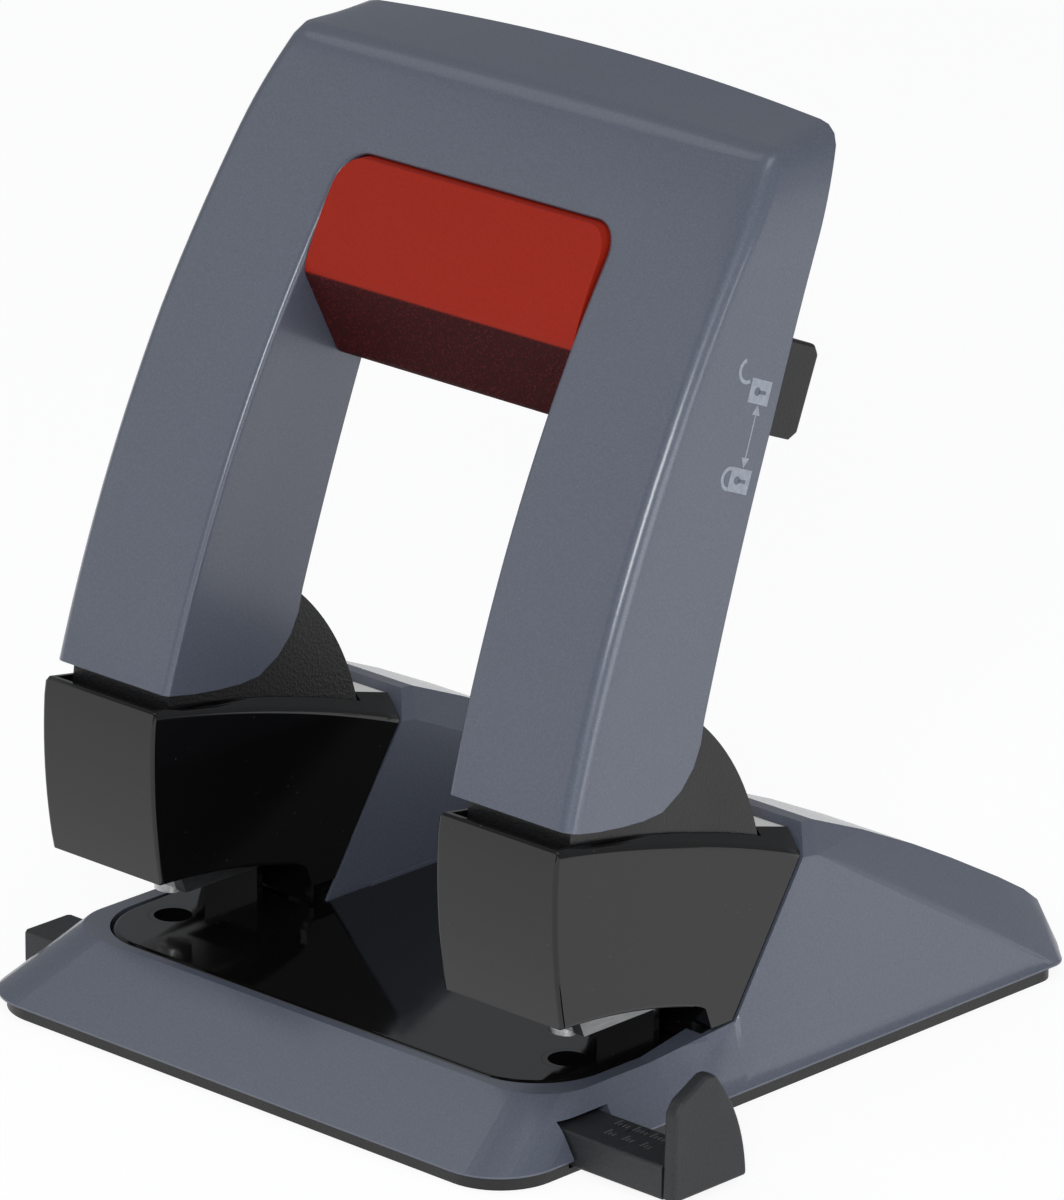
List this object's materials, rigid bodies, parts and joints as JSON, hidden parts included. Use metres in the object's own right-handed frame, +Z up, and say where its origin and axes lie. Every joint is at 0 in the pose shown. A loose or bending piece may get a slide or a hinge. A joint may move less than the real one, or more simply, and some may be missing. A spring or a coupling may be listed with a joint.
{
  "type": "hole punch",
  "caption": "Upright desk hole punch: a sprung hoop handle with a red grip drives pins in glossy heads over a flat table, with a lock slider, sliding paper guide and chip tray.",
  "frame": {"origin": "on the surface that the punch stands on, midway between the two punch pins", "axes": "+X to the right as seen from the front, +Y back from the line of the pins, +Z up"},
  "size_m": [0.1307, 0.1227, 0.1417],
  "materials": {
    "grey_shell": "satin blue-grey",
    "gloss_black": "high gloss",
    "matt_black": "fine matt",
    "dark_grey": "fine matt",
    "red_grip": "smooth front, grained underside",
    "steel": "bright",
    "rubber": "matt"
  },
  "bodies": {
    "base": {"base_cover": "grey_shell", "cutting_table": "gloss_black", "base_plate": "steel", "guide_rail": "matt_black", "paper_stops": "matt_black", "base_screws": "steel", "tray_hinge_pins": "steel", "head_cover_left": "gloss_black", "head_cover_right": "gloss_black", "frame_plates_left": "steel", "frame_plates_right": "steel", "frame_rivets": "steel", "pin_guide_left": "steel", "pin_guide_right": "steel", "die_left": "steel", "die_right": "steel", "pivot_pin_left": "steel", "pivot_pin_right": "steel"},
    "handle": {"handle_shell": "grey_shell", "handle_back": "grey_shell", "grip_insert": "red_grip", "handle_tube": "steel", "handle_screws": "steel", "lever_left": "steel", "lever_right": "steel", "sector_left": "matt_black", "sector_right": "matt_black"},
    "punch_left": {"punch_pin_left": "steel", "pin_carrier_left": "steel", "pin_clip_left": "steel", "return_spring_left": "steel"},
    "punch_right": {"punch_pin_right": "steel", "pin_carrier_right": "steel", "pin_clip_right": "steel", "return_spring_right": "steel"},
    "lock": {"lock_button": "matt_black", "lock_rod": "steel"},
    "guide": {"guide_bar": "dark_grey", "guide_stop": "dark_grey"},
    "tray": {"chip_tray": "matt_black", "rubber_pads": "rubber"}
  },
  "joints": [
    {"name": "handle_hinge", "type": "hinge", "parent": "base", "child": "handle", "pos_m": [0, -0.0085, 0.03], "axis": [-1, 0, 0], "range_deg": [0, 19], "stiffness_Nm_per_rad": 0.5, "springref_deg": -22.92},
    {"name": "pin_left_slide", "type": "slide", "parent": "base", "child": "punch_left", "axis": [0, 0, -1], "range_m": [0, 0.005], "stiffness_N_per_m": 150, "springref_m": -0.004, "deforming": ["return_spring_left"]},
    {"name": "pin_right_slide", "type": "slide", "parent": "base", "child": "punch_right", "axis": [0, 0, -1], "range_m": [0, 0.005], "stiffness_N_per_m": 150, "springref_m": -0.004, "deforming": ["return_spring_right"]},
    {"name": "lock_slide", "type": "slide", "parent": "handle", "child": "lock", "axis": [0, -0.3714, -0.9285], "range_m": [0, 0.01]},
    {"name": "guide_slide", "type": "slide", "parent": "base", "child": "guide", "axis": [1, 0, 0], "range_m": [-0.014, 0.078]},
    {"name": "tray_hinge", "type": "hinge", "parent": "base", "child": "tray", "pos_m": [0, 0.092, 0.00105], "axis": [1, 0, 0], "range_deg": [0, 30]}
  ],
  "couplings": [
    {"joint": "pin_left_slide", "follows": "handle_hinge", "m_per_rad": 0.01507},
    {"joint": "pin_right_slide", "follows": "handle_hinge", "m_per_rad": 0.01507}
  ]
}
